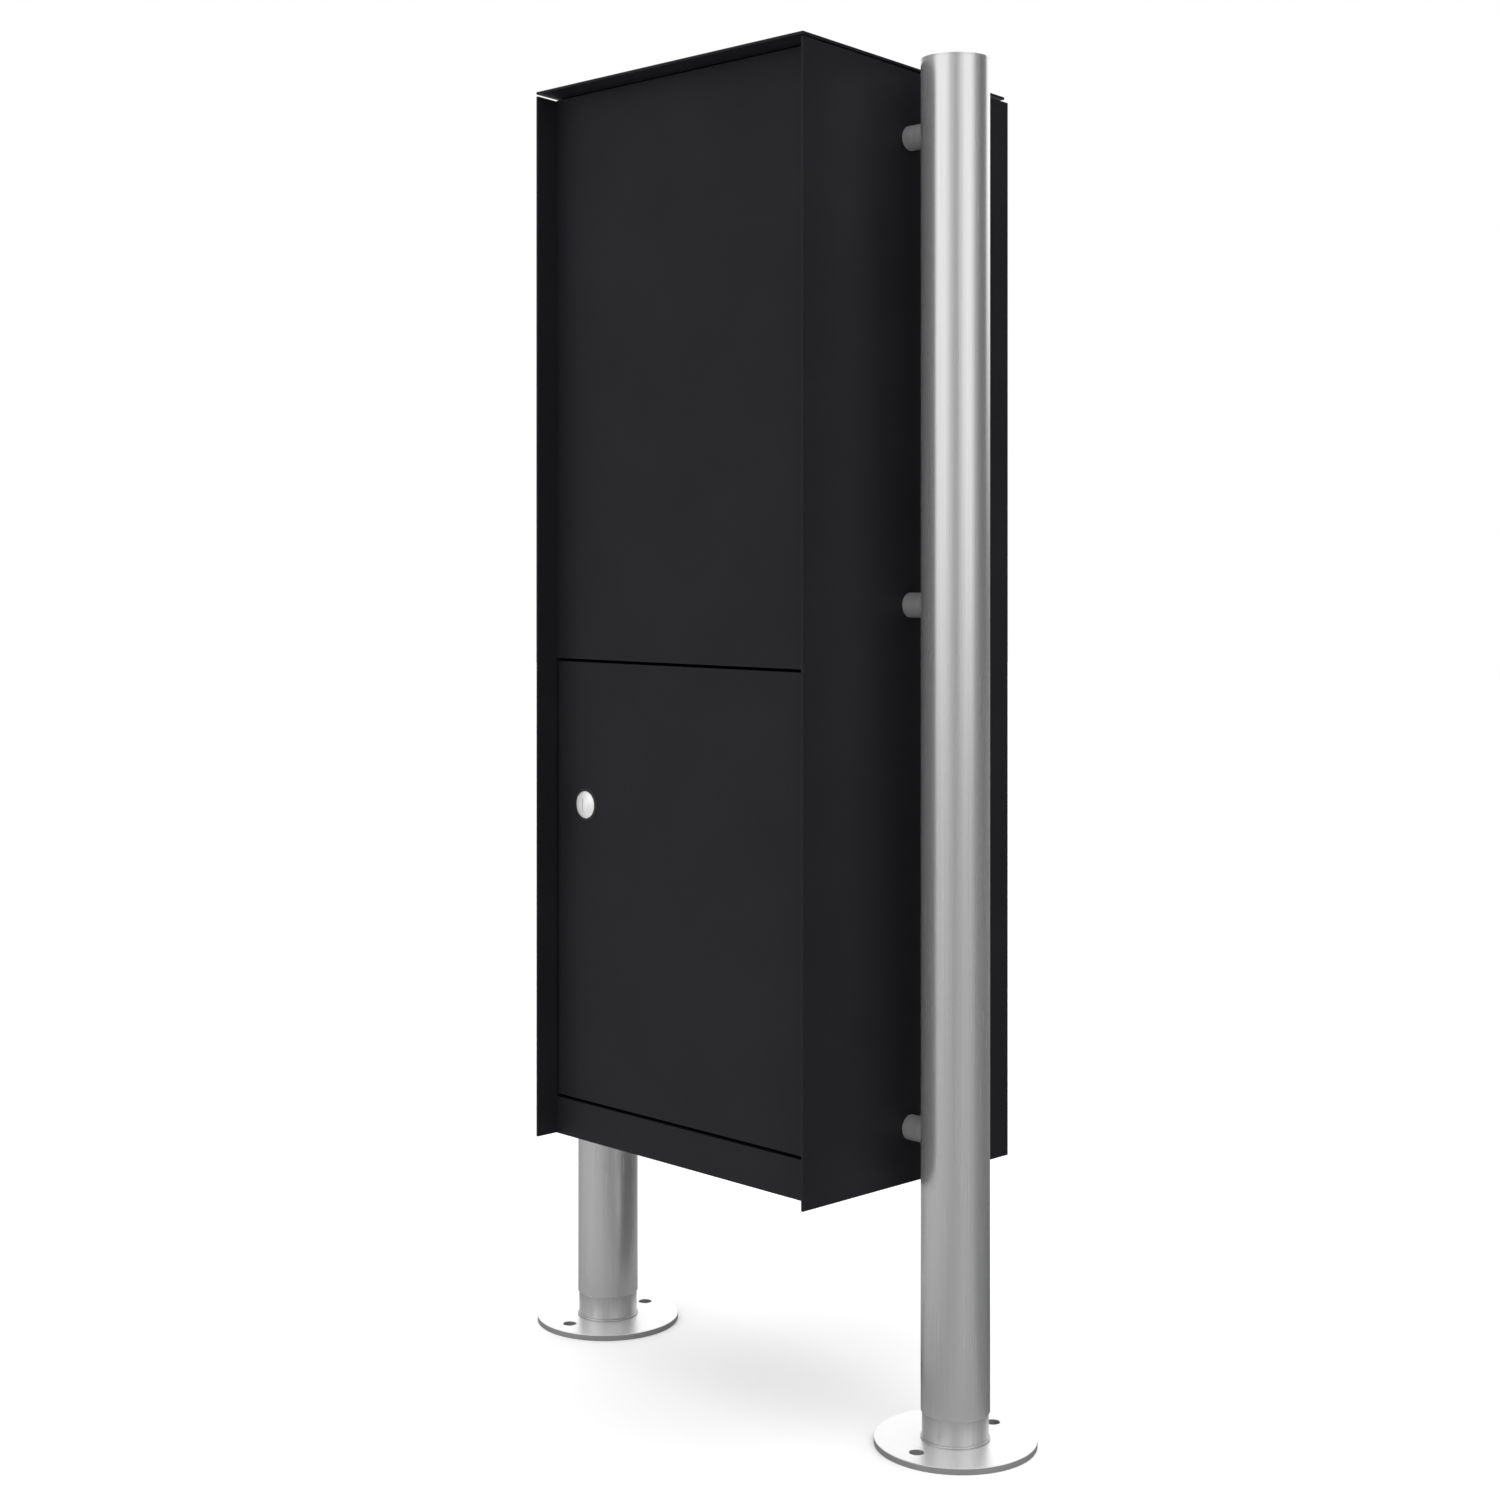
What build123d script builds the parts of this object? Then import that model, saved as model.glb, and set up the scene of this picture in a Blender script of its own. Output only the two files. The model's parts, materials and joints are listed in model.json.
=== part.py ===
from build123d import *
import math
import os

# Parcel locker: a coated sheet-steel casing carried between two stainless-steel posts.
# Millimetres. Origin on the ground, midway between the posts and at the casing's mid depth.
# +Z is up, +X is right as seen by someone who collects a parcel, who stands at -Y.
# Parcels go in through the hopper on the +Y side and come out of the door on the -Y side.

# ---- driving dimensions ----
CASE_W = 357.0            # casing width over the side walls
CASE_D = 270.0            # casing depth over the side walls
CASE_BOTTOM = 216.0       # underside of the casing above the ground
ROOF_FRONT_Z = 1212.2     # roof's top at the front edge
ROOF_REAR_Z = 1192.3      # height of the same plane at the walls' rear edges
ROOF_T = 2.5              # roof plate
ROOF_SHORT = 5.0          # the roof ends this far before the walls' rear edges
ROOF_GAP = 1.8            # open joint between the walls' tops and the roof
WALL_T = 2.5              # side walls
SHEET = 1.5               # panels, door and hopper
RECESS = 22.7             # front and rear panels stand back from the walls' edges
RETURN = 15.0             # depth of folded returns
DOOR_GAP_SIDE = 2.8       # open gap at each side of the door and of the hopper flap
DOOR_BOTTOM, DOOR_TOP = 254.2, 669.05
RAIL_TOP = 251.1          # top of the bottom rail
UPPER_PANEL_BOTTOM = 671.75
POST_R = 30.0
POST_WALL = 1.0
POST_TOP = 1200.0
POST_BOTTOM = 29.0        # lower end of the post tube, with the spigot showing below
POST_OFFSET = 52.45       # post axis outside the casing's side
SPIGOT_R = 28.95
SPIGOT_WALL = 3.0
SPIGOT_TOP = 150.0        # upper end of the spigot, inside the tube
COLLAR_H = 2.0            # dressed weld round the spigot's foot
GRUB_Z = (70.0, 120.0)    # clamping screws at the back of each post
GRUB_R = 4.0
FLANGE_R = 70.7
FLANGE_T = 5.5
ANCHOR_SPACING = 100.0
ANCHOR_R = 6.5
STANDOFF_R = 11.0
STANDOFF_Z = (265.0, 726.0, 1138.0)
LOCK_X, LOCK_Z = -131.2, 534.3
ROSETTE_R = 12.7
PLUG_R = 7.5
DOOR_PIVOT = (163.0, -105.3)   # x, y of the door hinge line
DOOR_PIN_R = 3.0
HOPPER_CHEEK_X = 164.0         # outer face of each cheek
TRAY_DROP = 55.0               # the tray's slope when the hopper is shut, degrees
TRAY_L = 185.0
TRAY_START_Z = 748.0           # where the tray meets the flap
FLAP_BOTTOM, FLAP_TOP = 735.0, 1150.0
KNUCKLE_R = 3.0                # piano hinge under the flap
HINGE_PIN_R = 1.5
REAR_PANEL_TOP, REAR_RAIL_BOTTOM = 731.0, 1153.0
FIT = 0.05                     # radial clearance of a running fit

# ---- worked out from them ----
HALF_W = CASE_W / 2
HALF_D = CASE_D / 2
INNER_X = HALF_W - WALL_T
FACE_Y = HALF_D - RECESS              # outer face of the front (-) and rear (+) panels
LEAF_X = INNER_X - DOOR_GAP_SIDE      # half width of door leaf and hopper flap
POST_X = HALF_W + POST_OFFSET
HOPPER_AXIS = (FACE_Y + KNUCKLE_R, (REAR_PANEL_TOP + FLAP_BOTTOM) / 2)   # y, z
ROOF_SLOPE = (ROOF_FRONT_Z - ROOF_REAR_Z) / CASE_D
ROOF_ANGLE = math.degrees(math.atan(ROOF_SLOPE))
SIDES = {"left": -1, "right": 1}


# ---- shapes used again and again ----
def block(x, y, z):
    """A box from its (low, high) pair along each axis; a pair may come in either order."""
    lows = [min(pair) for pair in (x, y, z)]
    sizes = [abs(pair[1] - pair[0]) for pair in (x, y, z)]
    return Pos(*lows) * Box(*sizes, align=(Align.MIN, Align.MIN, Align.MIN))


def rod_x(x0, x1, y, z, radius):
    """A round bar along X."""
    middle = Pos((x0 + x1) / 2, y, z)
    return middle * Rot(Y=90) * Cylinder(radius, abs(x1 - x0))


def rod_y(x, y0, y1, z, radius):
    """A round bar along Y."""
    middle = Pos(x, (y0 + y1) / 2, z)
    return middle * Rot(X=90) * Cylinder(radius, abs(y1 - y0))


def rod_z(x, y, z0, z1, radius):
    """A round bar along Z."""
    return Pos(x, y, (z0 + z1) / 2) * Cylinder(radius, abs(z1 - z0))


def profile_x(x0, x1, points):
    """A plate with the outline points (y, z), between two X planes."""
    outline = Plane.YZ.offset(min(x0, x1)) * Polygon(*points, align=None)
    return extrude(outline, amount=abs(x1 - x0), dir=(1, 0, 0))


def hex_x(x0, x1, y, z, across_flats):
    """A hexagonal head along X."""
    outline = Plane.YZ.offset(min(x0, x1)) * Pos(y, z) * RegularPolygon(
        across_flats / 2, 6, major_radius=False)
    return extrude(outline, amount=abs(x1 - x0))


def roof_top(y):
    return ROOF_FRONT_Z - (y + HALF_D) * ROOF_SLOPE


def roof_under(y):
    return roof_top(y) - ROOF_T


def wall_top(y):
    return roof_under(y) - ROOF_GAP


def under_roof_trim():
    """All space above the roof's underside, for cutting panels to the slope."""
    front, rear, high = -HALF_D - 1, HALF_D + 1, ROOF_FRONT_Z + 50
    points = [(front, roof_under(front)), (rear, roof_under(rear)), (rear, high), (front, high)]
    return profile_x(-HALF_W - 1, HALF_W + 1, points)


# ---- posts ----
def post_tube(side):
    x = side * POST_X
    tube = rod_z(x, 0, POST_BOTTOM, POST_TOP - SHEET, POST_R)
    return tube - rod_z(x, 0, POST_BOTTOM - 1, POST_TOP, POST_R - POST_WALL)


CAP_PLUG_H = 12.0         # how far the cap's plug goes down into the tube
CAP_PLUG_T = 2.0          # wall of that plug


def post_cap(side):
    """Domed-edge lid with a hollow plug that is pushed into the tube."""
    x = side * POST_X
    lid = rod_z(x, 0, POST_TOP - SHEET, POST_TOP, POST_R)
    lid = fillet(lid.edges().group_by(Axis.Z)[-1], 0.8)
    under = POST_TOP - SHEET
    plug_r = POST_R - POST_WALL - 0.1
    plug = rod_z(x, 0, under - CAP_PLUG_H, under, plug_r)
    hollow = rod_z(x, 0, under - CAP_PLUG_H - 1, under - CAP_PLUG_T, plug_r - CAP_PLUG_T)
    return lid + plug - hollow


def base_flange(side):
    """Round plate with an anchor hole in front of the post and one behind it."""
    x = side * POST_X
    plate = rod_z(x, 0, 0, FLANGE_T, FLANGE_R)
    plate = chamfer(plate.edges().group_by(Axis.Z)[-1], 0.6)
    for y in (-ANCHOR_SPACING / 2, ANCHOR_SPACING / 2):
        plate -= rod_z(x, y, -1, FLANGE_T + 1, ANCHOR_R)
    return plate


def base_spigot(side):
    """Short tube standing on the flange, which the post tube slips over."""
    x = side * POST_X
    tube = rod_z(x, 0, FLANGE_T, SPIGOT_TOP, SPIGOT_R)
    return tube - rod_z(x, 0, FLANGE_T - 1, SPIGOT_TOP + 1, SPIGOT_R - SPIGOT_WALL)


def foot_collar(side):
    x = side * POST_X
    ring = rod_z(x, 0, FLANGE_T, FLANGE_T + COLLAR_H, POST_R + 0.2)
    ring = chamfer(ring.edges().group_by(Axis.Z)[-1], 0.7)
    return ring - rod_z(x, 0, FLANGE_T - 1, FLANGE_T + COLLAR_H + 1, SPIGOT_R)


def post_grub_screws():
    """Two hexagon-socket screws a post, at the back, that clamp the tube to its spigot."""
    screws = []
    for side in SIDES.values():
        for z in GRUB_Z:
            x = side * POST_X
            screw = rod_y(x, SPIGOT_R - SPIGOT_WALL, POST_R + 0.6, z, GRUB_R)
            socket = Pos(x, POST_R + 0.7, z) * Rot(X=90) * extrude(
                RegularPolygon(2, 6, major_radius=False), amount=3.5)
            screws.append(screw - socket)
    return screws


def drilled_for_screws(body, side):
    """The same holes through tube and spigot that the grub screws fill."""
    for z in GRUB_Z:
        body -= rod_y(side * POST_X, SPIGOT_R / 2, POST_R + 2, z, GRUB_R)
    return body


# ---- what carries the casing on the posts ----
BOLT_R = 4.0
BOLT_CLEARANCE = 0.5      # radial, in the walls and backing strips
BOLT_HEAD_H = 5.3
BOLT_HEAD_AF = 13.0       # across the head's flats
BOLT_GRIP = 16.0          # how far the bolt goes into the standoff
TAP_DEPTH = 18.0
BACKING_T = 3.0
BACKING_HALF_W = 20.0
BACKING_Z = (235.0, 1165.0)
WASHER_R = 8.0
WASHER_T = 1.6


def standoffs(side):
    """Three turned sleeves, saddle-cut and welded to the post, tapped from the casing's side."""
    post = rod_z(side * POST_X, 0, CASE_BOTTOM, POST_TOP, POST_R)
    pieces = []
    for z in STANDOFF_Z:
        sleeve = rod_x(side * HALF_W, side * (POST_X - POST_R / 2), 0, z, STANDOFF_R) - post
        sleeve -= rod_x(side * (HALF_W - 1), side * (HALF_W + TAP_DEPTH), 0, z, BOLT_R + FIT)
        pieces.append(sleeve)
    return pieces


def backing_strip(side):
    """Strip that spreads the bolts' load down the inside of the wall."""
    x0, x1 = side * (INNER_X - BACKING_T), side * INNER_X
    strip = block((x0, x1), (-BACKING_HALF_W, BACKING_HALF_W), BACKING_Z)
    for z in STANDOFF_Z:
        strip -= rod_x(x0 - side, x1 + side, 0, z, BOLT_R + BOLT_CLEARANCE)
    return strip


def casing_washers():
    pieces = []
    for side in SIDES.values():
        x1 = side * (INNER_X - BACKING_T)
        x0 = x1 - side * WASHER_T
        for z in STANDOFF_Z:
            disc = rod_x(x0, x1, 0, z, WASHER_R)
            pieces.append(disc - rod_x(x0 - side, x1 + side, 0, z, BOLT_R + 0.2))
    return pieces


def casing_bolts():
    pieces = []
    for side in SIDES.values():
        seat = side * (INNER_X - BACKING_T - WASHER_T)
        for z in STANDOFF_Z:
            head = hex_x(seat - side * BOLT_HEAD_H, seat, 0, z, BOLT_HEAD_AF)
            shank = rod_x(seat, side * (HALF_W + BOLT_GRIP), 0, z, BOLT_R)
            pieces.append(head + shank)
    return pieces


# ---- casing ----
def side_wall(side):
    """Plain plate wall with eased front and rear edges, drilled for the casing bolts."""
    outer, inner = side * HALF_W, side * INNER_X
    outline = [(-HALF_D, CASE_BOTTOM), (HALF_D, CASE_BOTTOM), (HALF_D, wall_top(HALF_D)),
               (-HALF_D, wall_top(-HALF_D))]
    wall = profile_x(inner, outer, outline)
    wall = fillet(wall.edges().filter_by(Axis.Z), 0.6)
    for z in STANDOFF_Z:
        wall -= rod_x(inner - side, outer + side, 0, z, BOLT_R + BOLT_CLEARANCE)
    return wall


ROOF_STUDS = [(x, y) for x in (-166, 166) for y in (-70, 70)]
STUD_R = 2.5
STUD_L = 14.0             # a little of which is inside the plate
ROOF_ANGLE_LEG = 20.0
ROOF_ANGLE_T = 2.0


def at_stud(x, y, below=0.0):
    """The place on a stud's axis this far under the roof, square to its slope."""
    return Pos(x, y, roof_under(y)) * Rot(X=-ROOF_ANGLE) * Pos(0, 0, -below)


def roof_panel():
    """Roof plate with four studs welded under it."""
    front, rear = -HALF_D, HALF_D - ROOF_SHORT
    outline = [(front, roof_under(front)), (rear, roof_under(rear)), (rear, roof_top(rear)),
               (front, roof_top(front))]
    plate = profile_x(-HALF_W, HALF_W, outline)
    plate = fillet(plate.edges().filter_by(Axis.X), 0.5)
    for x, y in ROOF_STUDS:
        plate += at_stud(x, y, STUD_L / 2 - 1) * Cylinder(STUD_R, STUD_L)
    return plate


def roof_angle(side):
    """Folded angle spot-welded inside the wall; its top leg carries the roof's studs."""
    y0, y1 = -FACE_Y + RETURN + 2, FACE_Y - RETURN - 2
    outer, inner = side * INNER_X, side * (INNER_X - ROOF_ANGLE_LEG)
    legs = []
    for depth in (ROOF_ANGLE_T, ROOF_ANGLE_LEG):
        legs.append([(y0, roof_under(y0) - depth), (y1, roof_under(y1) - depth),
                     (y1, roof_under(y1)), (y0, roof_under(y0))])
    angle = profile_x(inner, outer, legs[0])
    angle += profile_x(outer - side * ROOF_ANGLE_T, outer, legs[1])
    for x, y in ROOF_STUDS:
        if x * side > 0:
            angle -= at_stud(x, y) * Cylinder(STUD_R + 0.4, 20)
    return angle


def roof_washers():
    pieces = []
    for x, y in ROOF_STUDS:
        washer = Cylinder(5, 1) - Cylinder(STUD_R + 0.1, 3)
        pieces.append(at_stud(x, y, ROOF_ANGLE_T + 0.5) * washer)
    return pieces


def roof_nuts():
    pieces = []
    for x, y in ROOF_STUDS:
        nut = extrude(RegularPolygon(4, 6, major_radius=False), amount=4)
        nut -= Pos(0, 0, 2) * Cylinder(STUD_R, 6)
        pieces.append(at_stud(x, y, ROOF_ANGLE_T + 1 + 4) * nut)
    return pieces


def front_upper_panel():
    """Fixed panel over the door: a face, two side returns and a bottom return with a bush."""
    bottom = UPPER_PANEL_BOTTOM
    y_return = (-FACE_Y, -FACE_Y + RETURN)
    face = block((-INNER_X, INNER_X), (-FACE_Y, -FACE_Y + SHEET), (bottom, ROOF_FRONT_Z))
    for side in SIDES.values():
        face += block((side * (INNER_X - SHEET), side * INNER_X), y_return, (bottom, ROOF_FRONT_Z))
    face += block((-INNER_X, INNER_X), y_return, (bottom, bottom + SHEET))
    face -= under_roof_trim()
    x, y = DOOR_PIVOT
    return face - rod_z(x, y, UPPER_PANEL_BOTTOM - 1, UPPER_PANEL_BOTTOM + 3, BUSH_R)


def front_bottom_rail():
    """Rail under the door; its top return holds the door's lower bush."""
    face = block((-INNER_X, INNER_X), (-FACE_Y, -FACE_Y + SHEET), (CASE_BOTTOM, RAIL_TOP))
    face += block((-INNER_X, INNER_X), (-FACE_Y, -FACE_Y + RETURN), (RAIL_TOP - SHEET, RAIL_TOP))
    x, y = DOOR_PIVOT
    return face - rod_z(x, y, RAIL_TOP - 3, RAIL_TOP + 1, BUSH_R)


FLOOR_INSET = 40.0        # drain holes in from the tray's sides
DRAIN_R = 3.0
MAT_T = 3.0


def floor_panel():
    """Tray floor with upstands along the walls and four drain holes."""
    y0, y1 = -FACE_Y + SHEET, FACE_Y - SHEET
    tray = block((-INNER_X, INNER_X), (y0, y1), (CASE_BOTTOM, CASE_BOTTOM + SHEET))
    for side in SIDES.values():
        upstand = (side * (INNER_X - SHEET), side * INNER_X)
        tray += block(upstand, (y0, y1), (CASE_BOTTOM, CASE_BOTTOM + RETURN))
    for x in (-INNER_X + FLOOR_INSET, INNER_X - FLOOR_INSET):
        for y in (y0 + FLOOR_INSET, y1 - FLOOR_INSET):
            tray -= rod_z(x, y, CASE_BOTTOM - 1, CASE_BOTTOM + 3, DRAIN_R)
    return tray


def floor_mat():
    """Loose rubber mat that the parcels drop on."""
    x, y = INNER_X - 6, FACE_Y - 8
    mat = block((-x, x), (-y, y), (CASE_BOTTOM + SHEET, CASE_BOTTOM + SHEET + MAT_T))
    return fillet(mat.edges().filter_by(Axis.Z), 6)


REAR_RETURN = 12.0        # top return of the rear lower panel
STEP_BACK = 22.0          # the rear rail's step stands this far behind its face
STEP_H = 14.0


def rear_lower_panel():
    """Fixed panel under the hopper flap, with a return along its top."""
    top = REAR_PANEL_TOP
    face = block((-INNER_X, INNER_X), (FACE_Y - SHEET, FACE_Y), (CASE_BOTTOM, top))
    face += block((-INNER_X, INNER_X), (FACE_Y - REAR_RETURN, FACE_Y), (top - SHEET, top))
    return drilled_for_rivets(face, -1)


def rear_top_rail():
    """Rail over the hopper flap, with a step behind the flap's top edge that the flap closes on."""
    x, bottom, back = (-INNER_X, INNER_X), REAR_RAIL_BOTTOM, FACE_Y - STEP_BACK
    face = block(x, (FACE_Y - SHEET, FACE_Y), (bottom, ROOF_FRONT_Z))
    face += block(x, (back, FACE_Y), (bottom, bottom + SHEET))
    face += block(x, (back, back + SHEET), (bottom - STEP_H, bottom + SHEET))
    return face - under_roof_trim()


JAMB_FRONT = -94.3        # front face of the lock jamb's leg, behind the door's returns
HINGE_JAMB_FRONT = -91.5  # the hinge jamb's leg, further back
JAMB_T = 2.0
JAMB_Z = (RAIL_TOP + 2, UPPER_PANEL_BOTTOM - 2)


def lock_jamb():
    """Angle on the left wall; its leg stands behind the door's edge and the cam turns behind it."""
    leg = block((-INNER_X, -INNER_X + 17), (JAMB_FRONT, JAMB_FRONT + JAMB_T), JAMB_Z)
    return leg + block((-INNER_X, -INNER_X + JAMB_T), (JAMB_FRONT, JAMB_FRONT + 25), JAMB_Z)


def hinge_jamb():
    """Angle on the right wall behind the hinge edge, clear of the door's turning corner."""
    y0 = HINGE_JAMB_FRONT
    leg = block((INNER_X - 22, INNER_X), (y0, y0 + JAMB_T), JAMB_Z)
    return leg + block((INNER_X - JAMB_T, INNER_X), (y0, y0 + 23.5), JAMB_Z)


def door_seal():
    """Rubber strip on the lock jamb that the shut door nearly meets."""
    return block((-INNER_X + 1, -INNER_X + 13), (-FACE_Y + RETURN + 0.4, JAMB_FRONT),
                 (RAIL_TOP + 6, UPPER_PANEL_BOTTOM - 6))


BAFFLE_Z = 772.0
BAFFLE_DEPTH = 44.0
BAFFLE_FLANGE = 20.0      # height of the leg that is welded to the front panel


def anti_fishing_baffle():
    """Shelf behind the front panel that shuts the way past the raised tray."""
    x, y0 = (-INNER_X + 4, INNER_X - 4), -FACE_Y + SHEET
    shelf = block(x, (y0, y0 + BAFFLE_DEPTH), (BAFFLE_Z, BAFFLE_Z + SHEET))
    return shelf + block(x, (y0, y0 + SHEET), (BAFFLE_Z, BAFFLE_Z + BAFFLE_FLANGE))


# ---- retrieval door ----
BUSH_R = 5.0
BUSH_L = 5.0              # the part of a bush inside its panel's return
BUSH_RIM_R = 6.5
LOWER_RIM_T = 2.9         # takes up the gap under the door
UPPER_RIM_T = 1.2
PIN_BLOCK = 12.0
PIN_BLOCK_H = 18.0
PIN_TIP = 6.0             # how far each pin goes past the edge of its panel's return


def door_skin():
    """Folded leaf with returns all round, pierced for the lock and for the two hinge pins."""
    outer = block((-LEAF_X, LEAF_X), (-FACE_Y, -FACE_Y + RETURN), (DOOR_BOTTOM, DOOR_TOP))
    outer = fillet(outer.edges().group_by(Axis.Y)[0], 0.6)
    inner = block((-LEAF_X + SHEET, LEAF_X - SHEET), (-FACE_Y + SHEET, -FACE_Y + RETURN + 1),
                  (DOOR_BOTTOM + SHEET, DOOR_TOP - SHEET))
    leaf = outer - inner
    leaf -= rod_y(LOCK_X, -FACE_Y - 1, -FACE_Y + 4, LOCK_Z, BARREL_R)
    x, y = DOOR_PIVOT
    return leaf - rod_z(x, y, DOOR_BOTTOM - 1, DOOR_TOP + 1, DOOR_PIN_R)


def door_stiffener():
    """Upright hat section spot-welded behind the leaf."""
    y0 = -FACE_Y + SHEET
    z = (DOOR_BOTTOM + 22, DOOR_TOP - 22)
    hat = block((-22, 22), (y0 + 9, y0 + 10), z)
    for side in SIDES.values():
        hat += block((side * 21, side * 22), (y0, y0 + 10), z)
        hat += block((side * 21, side * 32), (y0, y0 + 1), z)
    return hat


def door_pin_blocks():
    """Blocks welded in the leaf's hinge corners, which hold the pins."""
    x, y = DOOR_PIVOT
    half = PIN_BLOCK / 2
    pieces = []
    for z in (DOOR_BOTTOM + SHEET, DOOR_TOP - SHEET - PIN_BLOCK_H):
        depth = (-FACE_Y + SHEET, -FACE_Y + RETURN - 1)
        body = block((x - half, x + half), depth, (z, z + PIN_BLOCK_H))
        pieces.append(body - rod_z(x, y, z - 1, z + PIN_BLOCK_H + 1, DOOR_PIN_R))
    return pieces


def door_hinge_pins():
    x, y = DOOR_PIVOT
    inset = SHEET + PIN_BLOCK_H
    lower = rod_z(x, y, RAIL_TOP - PIN_TIP, DOOR_BOTTOM + inset, DOOR_PIN_R)
    upper = rod_z(x, y, DOOR_TOP - inset, UPPER_PANEL_BOTTOM + PIN_TIP, DOOR_PIN_R)
    return [lower, upper]


def door_hinge_bushes():
    """Flanged plastic bushes in the fixed panels' returns; the lower one carries the door."""
    x, y = DOOR_PIVOT
    lower = rod_z(x, y, RAIL_TOP - BUSH_L, RAIL_TOP, BUSH_R)
    lower += rod_z(x, y, RAIL_TOP, RAIL_TOP + LOWER_RIM_T, BUSH_RIM_R)
    upper = rod_z(x, y, UPPER_PANEL_BOTTOM, UPPER_PANEL_BOTTOM + BUSH_L, BUSH_R)
    upper += rod_z(x, y, UPPER_PANEL_BOTTOM - UPPER_RIM_T, UPPER_PANEL_BOTTOM, BUSH_RIM_R)
    bore = rod_z(x, y, CASE_BOTTOM, UPPER_PANEL_BOTTOM + 2 * BUSH_L, DOOR_PIN_R + FIT)
    return [lower - bore, upper - bore]


# ---- lock ----
BARREL_R = 10.8
BARREL_BACK = -92.4
ROSETTE_PROUD = 5.2
GASKET_R = 15.5
GASKET_T = 0.8
CAM_T = 2.5
CAM_FRONT = -90.3
KEY_SLOT = (1.2, 12.6, 8.0)      # width, height, depth


def rosette_dome():
    """The domed disc that the housing and the plug's face are both cut from."""
    base = -FACE_Y - GASKET_T
    rise = ROSETTE_PROUD - GASKET_T - 0.8
    ball_r = (ROSETTE_R ** 2 + rise ** 2) / (2 * rise)
    ball = Pos(LOCK_X, base - 0.8 - rise + ball_r, LOCK_Z) * Sphere(ball_r)
    return rod_y(LOCK_X, base, base - ROSETTE_PROUD, LOCK_Z, ROSETTE_R) & ball


def lock_housing():
    body = rosette_dome() + rod_y(LOCK_X, -FACE_Y - GASKET_T, BARREL_BACK, LOCK_Z, BARREL_R)
    return body - rod_y(LOCK_X, -FACE_Y - 10, BARREL_BACK + 1, LOCK_Z, PLUG_R + FIT)


def lock_gasket():
    ring = rod_y(LOCK_X, -FACE_Y - GASKET_T, -FACE_Y, LOCK_Z, GASKET_R)
    ring = fillet(ring.edges().group_by(Axis.Y)[0], 0.5)
    return ring - rod_y(LOCK_X, -FACE_Y - 2, -FACE_Y + 1, LOCK_Z, BARREL_R)


def lock_nut():
    y0 = -FACE_Y + SHEET
    outline = Plane.XZ.offset(-y0) * Pos(LOCK_X, LOCK_Z) * RegularPolygon(13.5, 6, major_radius=False)
    return extrude(outline, amount=-5) - rod_y(LOCK_X, y0 - 1, y0 + 6, LOCK_Z, BARREL_R)


def lock_plug():
    """Turning plug: domed face with the key slot, and a square tail for the cam."""
    back = BARREL_BACK + 0.2
    dome = rosette_dome() & rod_y(LOCK_X, -FACE_Y - 10, -FACE_Y, LOCK_Z, PLUG_R)
    plug = dome + rod_y(LOCK_X, -FACE_Y - GASKET_T, back, LOCK_Z, PLUG_R)
    tail = block((LOCK_X - 4, LOCK_X + 4), (back, CAM_FRONT + CAM_T), (LOCK_Z - 4, LOCK_Z + 4))
    width, height, depth = KEY_SLOT
    slot = block((LOCK_X - width / 2, LOCK_X + width / 2), (-FACE_Y - 8, -FACE_Y - 8 + depth + 4),
                 (LOCK_Z - height / 2, LOCK_Z + height / 2))
    return plug + tail - slot - rod_y(LOCK_X, BARREL_BACK - 6, CAM_FRONT + CAM_T + 1, LOCK_Z, 2)


def lock_cam():
    """Flat steel tongue. It hangs down when the door is free and points at the jamb when locked."""
    y = (CAM_FRONT, CAM_FRONT + CAM_T)
    tongue = block((LOCK_X - 8, LOCK_X + 8), y, (LOCK_Z - 38, LOCK_Z))
    tongue = fillet(tongue.edges().filter_by(Axis.Y).group_by(Axis.Z)[0], 4)
    tongue += rod_y(LOCK_X, y[0], y[1], LOCK_Z, 8)
    return tongue - block((LOCK_X - 4, LOCK_X + 4), (y[0] - 1, y[1] + 1), (LOCK_Z - 4, LOCK_Z + 4))


def lock_cam_screw():
    y = CAM_FRONT + CAM_T
    head = rod_y(LOCK_X, y, y + 3, LOCK_Z, 6)
    head = fillet(head.edges().group_by(Axis.Y)[-1], 1.5)
    cross = block((LOCK_X - 3, LOCK_X + 3), (y + 1.6, y + 4), (LOCK_Z - 0.5, LOCK_Z + 0.5))
    cross += block((LOCK_X - 0.5, LOCK_X + 0.5), (y + 1.6, y + 4), (LOCK_Z - 3, LOCK_Z + 3))
    return head + rod_y(LOCK_X, BARREL_BACK - 5, y, LOCK_Z, 2) - cross


# ---- deposit hopper ----
def tray_point(along, lift=0.0):
    """A point (y, z) on the shut tray: a distance inward from the flap, and a height square to it."""
    slope = math.radians(TRAY_DROP)
    y = FACE_Y - SHEET - along * math.cos(slope) + lift * -math.sin(slope)
    z = TRAY_START_Z - along * math.sin(slope) + lift * math.cos(slope)
    return (y, z)


def flap_skin():
    """Folded outer leaf of the hopper, with returns at the top and sides."""
    y = (FACE_Y - RETURN, FACE_Y)
    outer = block((-LEAF_X, LEAF_X), y, (FLAP_BOTTOM, FLAP_TOP))
    outer = fillet(outer.edges().group_by(Axis.Y)[-1], 0.6)
    inner_x = (-LEAF_X + SHEET, LEAF_X - SHEET)
    leaf = outer - block(inner_x, (y[0] - 1, FACE_Y - SHEET), (FLAP_BOTTOM - 1, FLAP_TOP - SHEET))
    for x, z in HANDLE_SCREWS:
        leaf -= rod_y(x, FACE_Y - 3, FACE_Y + 1, z, GRIP_SCREW_R + 0.1)
    return drilled_for_rivets(leaf, 1)


INNER_PANEL_Z = (935.0, 1120.0)


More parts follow.
